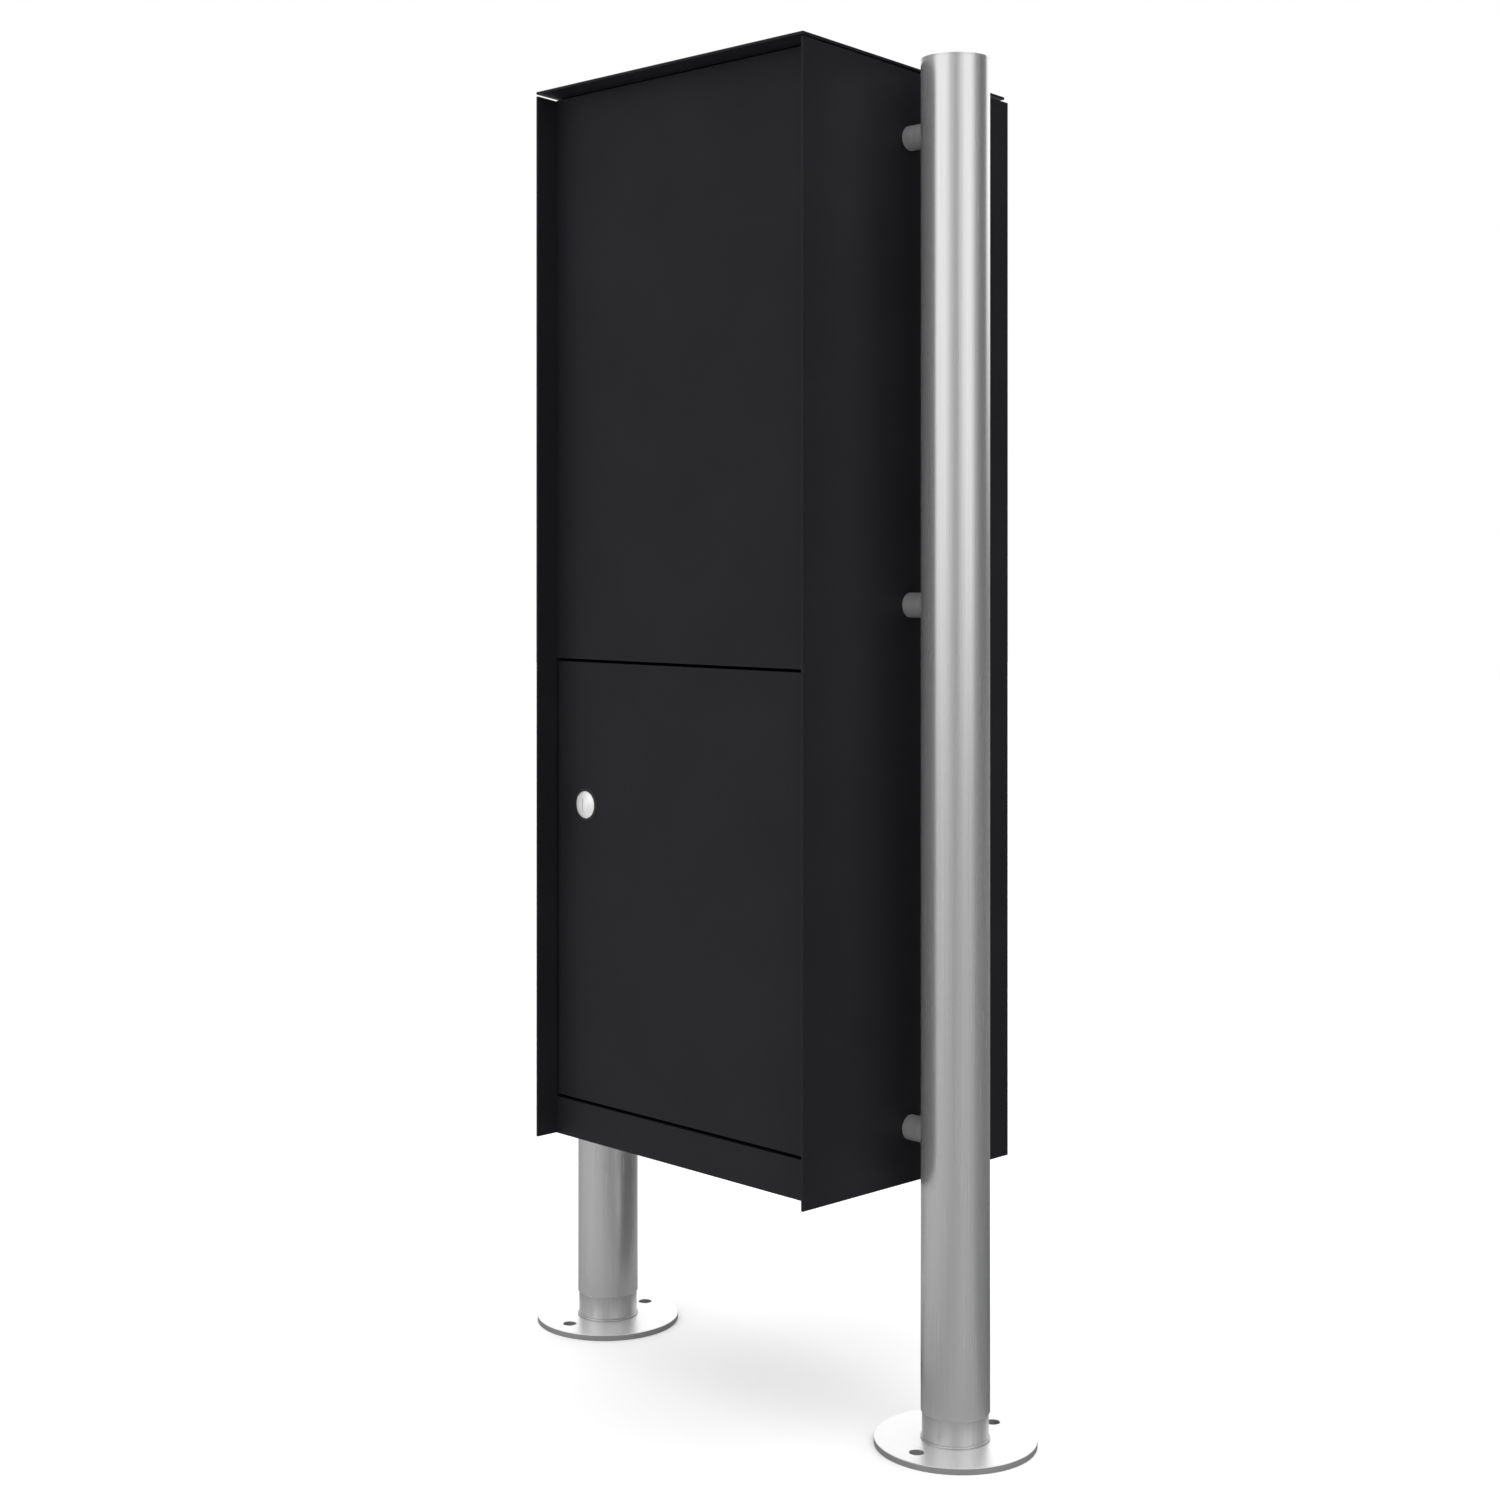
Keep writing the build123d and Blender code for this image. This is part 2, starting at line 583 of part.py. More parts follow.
def flap_inner_panel():
    """Flat stiffening channel behind the flap's upper part."""
    y = (FACE_Y - RETURN + 2, FACE_Y - SHEET)
    x = HOPPER_CHEEK_X - 4
    low, high = INNER_PANEL_Z
    channel = block((-x, x), y, (low, high))
    return channel - block((-x + SHEET, x - SHEET), (y[0] + SHEET, y[1] + 1), (low + SHEET, high - SHEET))


def hopper_tray():
    """Tray that carries the parcel when the hopper is pulled open and drops it when shut."""
    outline = [tray_point(0), tray_point(TRAY_L), tray_point(TRAY_L, SHEET), tray_point(0, SHEET)]
    x = HOPPER_CHEEK_X - SHEET
    return profile_x(-x, x, outline)


def hopper_cheek(side):
    """Side plate of the tray, a sector about the hinge line."""
    hinge = Vector(*HOPPER_AXIS)
    heel, tip = Vector(*tray_point(0)), Vector(*tray_point(TRAY_L))
    reach = (tip - hinge).length
    crown = Vector(heel.X, hinge.Y + math.sqrt(reach ** 2 - (heel.X - hinge.X) ** 2))
    bisector = ((tip - hinge).normalized() + (crown - hinge).normalized()).normalized()
    middle = hinge + bisector * reach
    edges = [Line(heel, tip), ThreePointArc(tip, middle, crown), Line(crown, heel)]
    inner = side * (HOPPER_CHEEK_X - SHEET)
    outline = Plane.YZ.offset(min(side * HOPPER_CHEEK_X, inner)) * make_face(Wire(edges))
    return extrude(outline, amount=SHEET, dir=(1, 0, 0))


LEAF_H = 16.0             # how far each hinge leaf reaches from the hinge line
LEAF_T = 1.2
KNUCKLES = 11
KNUCKLE_SPACE = 0.4
KNUCKLE_L = (2 * LEAF_X - 8) / KNUCKLES
RIVETS_A_LEAF = 7


def knuckle_run(first):
    """Every second knuckle of the piano hinge, counted from first."""
    run = []
    for i in range(first, KNUCKLES, 2):
        x0 = (i - KNUCKLES / 2) * KNUCKLE_L
        run.append((x0 + KNUCKLE_SPACE / 2, x0 + KNUCKLE_L - KNUCKLE_SPACE / 2))
    return run


def hinge_leaf(first, up):
    """One leaf of the piano hinge, flat on its panel's outer face, with its knuckles."""
    y, z = HOPPER_AXIS
    half = KNUCKLES * KNUCKLE_L / 2
    leaf = block((-half, half), (FACE_Y, FACE_Y + LEAF_T), (z + up * (KNUCKLE_R + 0.8), z + up * LEAF_H))
    for x0, x1 in knuckle_run(first):
        leaf += rod_x(x0, x1, y, z, KNUCKLE_R)
        leaf += block((x0, x1), (FACE_Y, FACE_Y + LEAF_T), (z, z + up * (KNUCKLE_R + 1)))
    bore = HINGE_PIN_R if up < 0 else HINGE_PIN_R + FIT
    leaf -= rod_x(-half - 1, half + 1, y, z, bore)
    for x in rivet_places():
        leaf -= rod_y(x, FACE_Y - 1, FACE_Y + LEAF_T + 1, z + up * 10, 1.6)
    return leaf


def rivet_places():
    half = KNUCKLES * KNUCKLE_L / 2 - 14
    return [-half + 2 * half * i / (RIVETS_A_LEAF - 1) for i in range(RIVETS_A_LEAF)]


def hinge_rivets(up):
    """Domed rivets through one leaf and the panel behind it."""
    pieces = []
    z = HOPPER_AXIS[1] + up * 10
    for x in rivet_places():
        head = rod_y(x, FACE_Y + LEAF_T, FACE_Y + LEAF_T + 1.3, z, 3.2)
        head = fillet(head.edges().group_by(Axis.Y)[-1], 1.0)
        tail = rod_y(x, FACE_Y - SHEET - 1.5, FACE_Y - SHEET, z, 2.4)
        pieces.append(head + rod_y(x, FACE_Y - SHEET - 0.5, FACE_Y + LEAF_T, z, 1.6) + tail)
    return pieces


def drilled_for_rivets(panel, up):
    for x in rivet_places():
        panel -= rod_y(x, FACE_Y - SHEET - 1, FACE_Y + 1, HOPPER_AXIS[1] + up * 10, 1.6)
    return panel


def hopper_fixed_leaf():
    return hinge_leaf(0, -1)


def hopper_moving_leaf():
    return hinge_leaf(1, 1)


def fixed_leaf_rivets():
    return hinge_rivets(-1)


def moving_leaf_rivets():
    return hinge_rivets(1)


def hopper_hinge_pin():
    half = KNUCKLES * KNUCKLE_L / 2
    return rod_x(-half, half, *HOPPER_AXIS, HINGE_PIN_R)


HANDLE_Z = 1108.0         # top of the grip's ledge
HANDLE_HALF = 90.0
HANDLE_REACH = 18.5
HANDLE_H = 34.0
HANDLE_LIP = 12.0
HANDLE_T = 2.0
GRIP_SCREW_R = 2.5
HANDLE_SCREWS = [(x, HANDLE_Z - HANDLE_H + 7) for x in (-60, 0, 60)]


def pull_handle():
    """Folded grip: a plate on the flap, a ledge standing out, and a lip turned down for the fingers."""
    x, out = (-HANDLE_HALF, HANDLE_HALF), FACE_Y + HANDLE_REACH
    grip = block(x, (FACE_Y, FACE_Y + HANDLE_T), (HANDLE_Z - HANDLE_H, HANDLE_Z))
    grip += block(x, (FACE_Y, out), (HANDLE_Z - HANDLE_T, HANDLE_Z))
    grip += block(x, (out - HANDLE_T, out), (HANDLE_Z - HANDLE_LIP, HANDLE_Z))
    bends = grip.edges().filter_by(Axis.X).filter_by(
        lambda e: e.center().Z > HANDLE_Z - 0.1 and e.center().Y > FACE_Y + 5)
    grip = fillet(bends, 1.8)
    for sx, sz in HANDLE_SCREWS:
        grip -= rod_y(sx, FACE_Y - 1, FACE_Y + HANDLE_T + 1, sz, GRIP_SCREW_R + 0.1)
    return grip


def handle_screws():
    """Button-head screws through the grip and the flap, each with its nut behind."""
    pieces = []
    for x, z in HANDLE_SCREWS:
        seat, back = FACE_Y + HANDLE_T, FACE_Y - SHEET
        head = rod_y(x, seat, seat + 2.4, z, 4.7)
        head = fillet(head.edges().group_by(Axis.Y)[-1], 1.6)
        head += rod_y(x, back - 5, seat, z, GRIP_SCREW_R)
        nut = Plane.XZ.offset(-(back - 4)) * Pos(x, z) * RegularPolygon(4, 6, major_radius=False)
        head += extrude(nut, amount=-4)
        pieces.append(head)
    return pieces


BUMPER_T = 4.6


def flap_bumpers():
    """Rubber buttons on the flap's top return that meet the rail's step."""
    y = FACE_Y - RETURN
    pieces = []
    for x in (-120, 120):
        pieces.append(block((x - 9, x + 9), (y - BUMPER_T, y), (FLAP_TOP - 9, FLAP_TOP - 1)))
    return pieces


# ---- write one STEP a node ----
def nodes():
    parts = {}
    for name, side in SIDES.items():
        parts[name + "_post_tube"] = drilled_for_screws(post_tube(side), side)
        parts[name + "_post_cap"] = post_cap(side)
        parts[name + "_base_flange"] = base_flange(side)
        parts[name + "_base_spigot"] = drilled_for_screws(base_spigot(side), side)
        parts[name + "_foot_collar"] = foot_collar(side)
        parts[name + "_standoffs"] = standoffs(side)
        parts[name + "_backing_strip"] = backing_strip(side)
        parts[name + "_side_wall"] = side_wall(side)
        parts[name + "_roof_angle"] = roof_angle(side)
        parts[name + "_hopper_cheek"] = hopper_cheek(side)
    singles = (post_grub_screws, casing_washers, casing_bolts, roof_panel, roof_washers, roof_nuts,
               front_upper_panel, front_bottom_rail, floor_panel, floor_mat, rear_lower_panel,
               rear_top_rail, lock_jamb, hinge_jamb, door_seal, anti_fishing_baffle, door_hinge_bushes,
               door_skin, door_stiffener, door_pin_blocks, door_hinge_pins, lock_housing, lock_gasket,
               lock_nut, lock_plug, lock_cam, lock_cam_screw, flap_skin, flap_inner_panel, hopper_tray,
               hopper_fixed_leaf, hopper_moving_leaf, fixed_leaf_rivets, moving_leaf_rivets,
               hopper_hinge_pin, pull_handle, handle_screws, flap_bumpers)
    for make in singles:
        parts[make.__name__] = make()
    return parts


os.makedirs("parts", exist_ok=True)
for node, shape in nodes().items():
    if isinstance(shape, list):
        shape = Compound(children=shape)
    export_step(shape, "parts/" + node + ".step")
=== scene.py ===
import json
import math
import bpy
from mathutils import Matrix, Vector


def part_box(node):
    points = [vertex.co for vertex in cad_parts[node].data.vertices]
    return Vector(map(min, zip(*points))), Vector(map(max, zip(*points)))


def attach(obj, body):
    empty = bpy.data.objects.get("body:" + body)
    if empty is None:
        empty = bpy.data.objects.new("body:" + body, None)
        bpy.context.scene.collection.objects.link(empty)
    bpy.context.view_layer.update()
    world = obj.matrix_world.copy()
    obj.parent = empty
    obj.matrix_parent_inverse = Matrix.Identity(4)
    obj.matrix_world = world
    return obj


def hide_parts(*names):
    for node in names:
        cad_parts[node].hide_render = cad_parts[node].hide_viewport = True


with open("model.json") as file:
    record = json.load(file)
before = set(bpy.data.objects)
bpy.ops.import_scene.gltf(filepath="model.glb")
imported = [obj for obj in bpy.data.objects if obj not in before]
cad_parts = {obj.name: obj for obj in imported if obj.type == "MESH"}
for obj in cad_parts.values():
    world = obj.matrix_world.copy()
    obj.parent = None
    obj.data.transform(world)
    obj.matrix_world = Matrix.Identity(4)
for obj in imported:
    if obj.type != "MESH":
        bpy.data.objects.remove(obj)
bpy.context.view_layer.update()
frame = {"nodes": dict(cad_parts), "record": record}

MM = 0.001


# ---- Camera and studio ----
# A level view of the locker's front right corner from about two metres away. The floor is a plain
# pale sheet, and the room round it is a soft grey cyclorama with tall lit walls and a lit ceiling.
bpy.ops.object.select_all(action="DESELECT")
CAMERA_PLACE = (1.5439, -1.5212, 0.7652)
CAMERA_TURN = math.radians(45.986)
bpy.ops.object.camera_add(location=CAMERA_PLACE, rotation=(math.radians(90), 0, CAMERA_TURN))
camera = bpy.context.object
camera.name = "camera"
camera.data.lens = 55.393
camera.data.shift_x = 0.00287
camera.data.shift_y = -0.12628
camera.data.clip_end = 100
bpy.context.scene.camera = camera
bpy.context.scene.view_settings.view_transform = "Standard"

FLOOR_SIZE = 24.0
FLOOR_WHITE = 0.92
FLOOR_GLOW = 0.12
# How bright the floor is in glossy reflections, by compass direction, as turns from -X through -Y.
FLOOR_IN_GLOSS = [(0.0, 0.24), (0.12, 0.34), (0.20, 0.35), (0.30, 0.28), (0.37, 0.18), (0.45, 0.26),
                  (0.51, 0.22), (0.56, 0.07), (0.66, 0.02), (0.76, 0.08), (0.88, 0.30), (1.0, 0.24)]


def compass_ramp(material_tree, coordinate, stops):
    """Greys that follow the compass direction of a coordinate."""
    place = material_tree.nodes.new("ShaderNodeTexCoord")
    turns = material_tree.nodes.new("ShaderNodeTexGradient")
    turns.gradient_type = "RADIAL"
    ramp = material_tree.nodes.new("ShaderNodeValToRGB")
    ramp.color_ramp.interpolation = "EASE"
    while len(ramp.color_ramp.elements) < len(stops):
        ramp.color_ramp.elements.new(0.5)
    for stop, (position, level) in zip(ramp.color_ramp.elements, stops):
        stop.position = position
        stop.color = (level, level, level, 1)
    material_tree.links.new(place.outputs[coordinate], turns.inputs["Vector"])
    material_tree.links.new(turns.outputs["Fac"], ramp.inputs["Fac"])
    return ramp.outputs["Color"]


bpy.ops.mesh.primitive_plane_add(size=FLOOR_SIZE)
floor = bpy.context.object
floor.name = "floor"
floor_paper = bpy.data.materials.new("floor_paper")
floor_paper.use_nodes = True
paper = floor_paper.node_tree
paper_shader = paper.nodes["Principled BSDF"]
paper_shader.inputs["Roughness"].default_value = 0.9
paper_shader.inputs["Specular IOR Level"].default_value = 0.0
ray = paper.nodes.new("ShaderNodeLightPath")
tone = paper.nodes.new("ShaderNodeMix")
tone.data_type = "RGBA"
tone.inputs["A"].default_value = (FLOOR_WHITE, FLOOR_WHITE, FLOOR_WHITE, 1)
paper.links.new(compass_ramp(paper, "Object", FLOOR_IN_GLOSS), tone.inputs["B"])
paper.links.new(ray.outputs["Is Glossy Ray"], tone.inputs["Factor"])
paper.links.new(tone.outputs["Result"], paper_shader.inputs["Base Color"])
glow = paper.nodes.new("ShaderNodeMath")
glow.operation = "MULTIPLY"
glow.inputs[1].default_value = FLOOR_GLOW
paper.links.new(ray.outputs["Is Camera Ray"], glow.inputs[0])
paper_shader.inputs["Emission Color"].default_value = (1, 1, 1, 1)
paper.links.new(glow.outputs["Value"], paper_shader.inputs["Emission Strength"])
floor.data.materials.append(floor_paper)

# The room's walls in the same way: at the camera's height, and above it, where the walls behind the
# locker are lit as well.
LOW_WALLS = [(0.00, 0.32), (0.14, 0.36), (0.185, 1.08), (0.28, 1.02), (0.33, 0.46), (0.375, 0.17),
             (0.425, 0.80), (0.46, 1.08), (0.51, 1.10), (0.57, 0.24), (0.62, 0.00), (0.70, 0.00),
             (0.76, 0.06), (0.80, 0.16), (0.86, 0.30), (0.92, 0.40), (1.0, 0.28)]
HIGH_WALLS = [(0.00, 0.32), (0.14, 0.36), (0.185, 1.27), (0.28, 1.22), (0.33, 0.56), (0.375, 0.25),
              (0.425, 0.94), (0.46, 1.25), (0.51, 1.25), (0.57, 0.26), (0.62, 0.00), (0.69, 0.02),
              (0.735, 1.35), (0.79, 1.45), (0.84, 1.25), (0.92, 1.25), (1.0, 0.32)]
ROOM_CEILING = 1.7
CEILING_IN_GLOSS = 1.0
world = bpy.data.worlds.new("studio")
bpy.context.scene.world = world
world.use_nodes = True
sky = world.node_tree
direction = sky.nodes.new("ShaderNodeTexCoord")
split = sky.nodes.new("ShaderNodeSeparateXYZ")


def up_the_room(from_z, to_z, below, above):
    """One grey below, another above, and a soft change between these heights of the direction."""
    height = sky.nodes.new("ShaderNodeMapRange")
    height.interpolation_type = "SMOOTHSTEP"
    height.inputs["From Min"].default_value = from_z
    height.inputs["From Max"].default_value = to_z
    change = sky.nodes.new("ShaderNodeMix")
    change.data_type = "RGBA"
    sky.links.new(split.outputs["Z"], height.inputs["Value"])
    sky.links.new(height.outputs["Result"], change.inputs["Factor"])
    sky.links.new(below, change.inputs["A"])
    sky.links.new(above, change.inputs["B"])
    return change.outputs["Result"]


seen = sky.nodes.new("ShaderNodeLightPath")
ceiling = sky.nodes.new("ShaderNodeMix")
ceiling.data_type = "RGBA"
ceiling.inputs["A"].default_value = (ROOM_CEILING, ROOM_CEILING, ROOM_CEILING, 1)
ceiling.inputs["B"].default_value = (CEILING_IN_GLOSS, CEILING_IN_GLOSS, CEILING_IN_GLOSS, 1)
backdrop = sky.nodes.new("ShaderNodeMix")
backdrop.data_type = "RGBA"
backdrop.inputs["B"].default_value = (1, 1, 1, 1)
sky.links.new(direction.outputs["Generated"], split.inputs["Vector"])
sky.links.new(seen.outputs["Is Glossy Ray"], ceiling.inputs["Factor"])
walls = up_the_room(-0.02, 0.18, compass_ramp(sky, "Generated", LOW_WALLS),
                    compass_ramp(sky, "Generated", HIGH_WALLS))
room = up_the_room(0.42, 0.80, walls, ceiling.outputs["Result"])
sky.links.new(room, backdrop.inputs["A"])
sky.links.new(seen.outputs["Is Camera Ray"], backdrop.inputs["Factor"])
sky.links.new(backdrop.outputs["Result"], sky.nodes["Background"].inputs["Color"])


# ---- Post tubes ----
# Two stainless tubes, 60 mm across, cut square and linished along their length, so that fine
# straight lines run up them. Each slips over the spigot of its foot and is open at the bottom.
def coordinates(material, scale):
    """Object coordinates through a Mapping node with this scale, ready for a texture."""
    tree = material.node_tree
    place = tree.nodes.new("ShaderNodeTexCoord")
    mapping = tree.nodes.new("ShaderNodeMapping")
    mapping.inputs["Scale"].default_value = scale
    tree.links.new(place.outputs["Object"], mapping.inputs["Vector"])
    return mapping.outputs["Vector"]


def noise(material, scale, size, detail=3.0):
    """Noise of this size on object coordinates stretched by scale."""
    texture = material.node_tree.nodes.new("ShaderNodeTexNoise")
    texture.inputs["Scale"].default_value = size
    texture.inputs["Detail"].default_value = detail
    material.node_tree.links.new(coordinates(material, scale), texture.inputs["Vector"])
    return texture.outputs["Fac"]


def spread(material, source, low, high):
    """A texture's middle range stretched to run from low to high."""
    fit = material.node_tree.nodes.new("ShaderNodeMapRange")
    fit.inputs["From Min"].default_value = 0.3
    fit.inputs["From Max"].default_value = 0.7
    fit.inputs["To Min"].default_value = low
    fit.inputs["To Max"].default_value = high
    material.node_tree.links.new(source, fit.inputs["Value"])
    return fit.outputs["Result"]


def two_tones(material, source, dark, light):
    """A colour that runs from dark to light with a texture."""
    mix = material.node_tree.nodes.new("ShaderNodeMix")
    mix.data_type = "RGBA"
    mix.inputs["A"].default_value = (*dark, 1)
    mix.inputs["B"].default_value = (*light, 1)
    material.node_tree.links.new(spread(material, source, 0, 1), mix.inputs["Factor"])
    return mix.outputs["Result"]


def soft_edges(material, radius):
    """A normal that rounds every edge by this radius, as sheet and turned edges are."""
    rounding = material.node_tree.nodes.new("ShaderNodeBevel")
    rounding.samples = 4
    rounding.inputs["Radius"].default_value = radius
    return rounding.outputs["Normal"]


def relief(material, source, depth, strength, edge_radius):
    """Bump of this depth in metres over rounded edges, on the shader's normal."""
    bump = material.node_tree.nodes.new("ShaderNodeBump")
    bump.inputs["Distance"].default_value = depth
    bump.inputs["Strength"].default_value = strength
    links = material.node_tree.links
    links.new(source, bump.inputs["Height"])
    links.new(soft_edges(material, edge_radius), bump.inputs["Normal"])
    links.new(bump.outputs["Normal"], material.node_tree.nodes["Principled BSDF"].inputs["Normal"])


def worn_edges(material, colour, width, amount, patch_size):
    """The base colour turns to the worn colour along edges, in patches."""
    tree = material.node_tree
    flat = tree.nodes.new("ShaderNodeNewGeometry")
    turn = tree.nodes.new("ShaderNodeVectorMath")
    turn.operation = "DOT_PRODUCT"
    tree.links.new(soft_edges(material, width), turn.inputs[0])
    tree.links.new(flat.outputs["Normal"], turn.inputs[1])
    near = tree.nodes.new("ShaderNodeMapRange")
    near.inputs["From Min"].default_value = 0.995
    near.inputs["From Max"].default_value = 0.85
    near.inputs["To Max"].default_value = amount
    tree.links.new(turn.outputs["Value"], near.inputs["Value"])
    patches = tree.nodes.new("ShaderNodeMath")
    patches.operation = "MULTIPLY"
    tree.links.new(near.outputs["Result"], patches.inputs[0])
    tree.links.new(spread(material, noise(material, (1, 1, 1), patch_size), 0.15, 1), patches.inputs[1])
    wear = tree.nodes.new("ShaderNodeMix")
    wear.data_type = "RGBA"
    wear.inputs["B"].default_value = (*colour, 1)
    base = tree.nodes["Principled BSDF"].inputs["Base Color"]
    tree.links.new(base.links[0].from_socket, wear.inputs["A"])
    tree.links.new(patches.outputs["Value"], wear.inputs["Factor"])
    tree.links.new(wear.outputs["Result"], base)


def finish(name, metallic, roughness, tones, tone_source, rough_source):
    """A Principled material with two tones and a roughness that varies, both from noise."""
    material = bpy.data.materials.new(name)
    material.use_nodes = True
    shader = material.node_tree.nodes["Principled BSDF"]
    shader.inputs["Metallic"].default_value = metallic
    links = material.node_tree.links
    links.new(two_tones(material, noise(material, *tone_source), *tones), shader.inputs["Base Color"])
    links.new(spread(material, noise(material, *rough_source), *roughness), shader.inputs["Roughness"])
    return material


def brushed_steel(name, grain, metallic, roughness, tones, groove=0.000015):
    """Stainless steel with a straight grain: grain is the noise's stretch along X, Y and Z."""
    material = finish(name, metallic, roughness, tones, (grain, 1.0), (grain, 1.7))
    relief(material, noise(material, grain, 2.3), groove, 0.08, 0.0003)
    worn_edges(material, (0.56, 0.56, 0.56), 0.0006, 0.7, 60.0)
    return material


def turn_profile(name, centre, profile, sides=96):
    """A body of revolution about an upright axis: each (radius, z) ring is extruded from the last."""
    bpy.ops.object.select_all(action="DESELECT")
    radius, z = profile[0]
    bpy.ops.mesh.primitive_circle_add(vertices=sides, radius=radius, fill_type="NGON",
                                      location=(centre[0], centre[1], z))
    piece = bpy.context.object
    piece.name = name
    bpy.ops.object.mode_set(mode="EDIT")
    bpy.ops.mesh.select_all(action="SELECT")
    for next_radius, next_z in profile[1:]:
        bpy.ops.mesh.extrude_region_move(TRANSFORM_OT_translate={"value": (0, 0, next_z - z)})
        size = next_radius / radius
        bpy.ops.transform.resize(value=(size, size, 1), center_override=(centre[0], centre[1], next_z))
        radius, z = next_radius, next_z
    bpy.ops.mesh.select_all(action="SELECT")
    bpy.ops.mesh.normals_make_consistent(inside=False)
    bpy.ops.object.mode_set(mode="OBJECT")
    bpy.ops.object.transform_apply(location=True, rotation=True, scale=True)
    return piece


def pick(piece):
    """The piece alone is selected and active."""
    bpy.ops.object.select_all(action="DESELECT")
    piece.select_set(True)
    bpy.context.view_layer.objects.active = piece


def smooth(piece, angle=35):
    """Smooth shading that keeps the edges sharper than the angle and the flat faces flat."""
    pick(piece)
    bpy.ops.object.shade_smooth_by_angle(angle=math.radians(angle))
    flat = piece.modifiers.new("flat_faces", "WEIGHTED_NORMAL")
    flat.keep_sharp = True
    bpy.ops.object.modifier_apply(modifier=flat.name)
    return piece


def copy_to(piece, name, move, half_turn=False):
    """A copy with its own mesh, turned half round about the upright axis or not, then moved."""
    pick(piece)
    bpy.ops.object.duplicate(linked=False)
    twin = bpy.context.object
    twin.name = name
    twin.rotation_euler = (0, 0, math.pi if half_turn else 0)
    twin.location = move
    bpy.ops.object.transform_apply(location=True, rotation=True, scale=True)
    return twin


def settle(piece, body, slot, material, *replaced):
    """The piece gets its material, rides on its body and stands for the nodes that it replaces."""
    piece.data.materials.clear()
    piece.data.materials.append(material)
    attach(piece, body)
    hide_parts(*replaced)


def middle(node):
    low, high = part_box(node)
    return (low + high) / 2


POST_TO_POST = middle("right_post_tube") - middle("left_post_tube")


def pair_of(piece, node, body, slot, material):
    """The left one is settled, and copied to the right post."""
    right = copy_to(piece, "right_" + piece.name, POST_TO_POST)
    piece.name = "left_" + piece.name
    settle(piece, body, slot, material, "left_" + node)
    settle(right, body, slot, material, "right_" + node)
    return piece, right


TUBE_WALL = 1.0 * MM
TUBE_EASE = 0.15 * MM
BORE_SEEN = 0.12
linished = brushed_steel("linished_tube", (620, 620, 4), 0.78, (0.235, 0.275),
                         ((0.685, 0.685, 0.69), (0.735, 0.735, 0.735)))
low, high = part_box("left_post_tube")
outer = (high.x - low.x) / 2
rings = [(outer - TUBE_WALL, low.z + BORE_SEEN), (outer - TUBE_WALL, low.z), (outer - TUBE_EASE, low.z),
         (outer, low.z + TUBE_EASE), (outer, high.z)]
tube = turn_profile("tube", middle("left_post_tube"), rings, sides=160)
pair_of(smooth(tube), "post_tube", "root", "stainless", linished)


# ---- Post caps ----
# A pressed lid, rolled over at its rim, closes the top of each tube and carries on its outline.
CAP_ROLL = 0.35 * MM
CAP_LAND = 4 * MM
CAP_DISH = 0.3 * MM
low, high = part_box("left_post_cap")
outer = (high.x - low.x) / 2
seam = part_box("left_post_tube")[1].z
rings = [(outer, seam), (outer, high.z - CAP_ROLL), (outer - CAP_ROLL * 0.3, high.z - CAP_ROLL * 0.3),
         (outer - CAP_ROLL, high.z), (outer - CAP_LAND, high.z), (outer - CAP_LAND - MM, high.z - CAP_DISH)]
cap = turn_profile("cap", middle("left_post_cap"), rings, sides=160)
pair_of(smooth(cap), "post_cap", "root", "stainless", linished)


# ---- Base spigots ----
# Below each post tube shows the smaller tube that it slips over. It is rougher than the tube, and its steel
# is painted darker as painted shade, to take back the light that the bright flange throws up on it.
shade_painted_steel = brushed_steel("steel_painted_darker", (620, 620, 6), 0.80, (0.36, 0.42),
                      ((0.52, 0.52, 0.525), (0.58, 0.58, 0.58)))
low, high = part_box("left_base_spigot")
outer = (high.x - low.x) / 2
rings = [(outer, low.z), (outer, high.z)]
spigot = turn_profile("spigot", middle("left_base_spigot"), rings, sides=160)
pair_of(smooth(spigot), "base_spigot", "root", "stainless", shade_painted_steel)


# ---- Foot collars ----
# The weld that joins spigot and flange is dressed to a thin ring, undercut at the flange and with a rounded
# top that runs out on the spigot. It takes the spigot's darker steel, painted shade along the joint at the
# flange.
UNDERCUT = 0.7 * MM
COLLAR_LAND = 0.5 * MM
COLLAR_ROUND = 0.3 * MM
COLLAR_TOP = 1.1 * MM
low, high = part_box("left_foot_collar")
outer = (high.x - low.x) / 2
land = low.z + UNDERCUT + COLLAR_LAND
rings = [(outer - UNDERCUT, low.z), (outer - UNDERCUT, low.z + UNDERCUT), (outer, low.z + UNDERCUT),
         (outer, land), (outer - COLLAR_ROUND, land + COLLAR_LAND), (outer - COLLAR_TOP, high.z)]
collar = turn_profile("collar", middle("left_foot_collar"), rings, sides=160)
pair_of(smooth(collar, 60), "foot_collar", "root", "stainless", shade_painted_steel)


# ---- Base flanges ----
# Laser-cut stainless discs with two anchor holes in line with the casing's depth. Their tops are
# fine ground, nearly a mirror, and their rims keep the duller cut edge.
def cut(piece, cutter):
    """The cutter's shape is taken out of the piece, and the cutter is thrown away."""
    pick(piece)
    knife = piece.modifiers.new("cut", "BOOLEAN")
    knife.operation = "DIFFERENCE"
    knife.solver = "EXACT"
    knife.object = cutter
    bpy.ops.object.modifier_apply(modifier=knife.name)
    bpy.data.objects.remove(cutter)


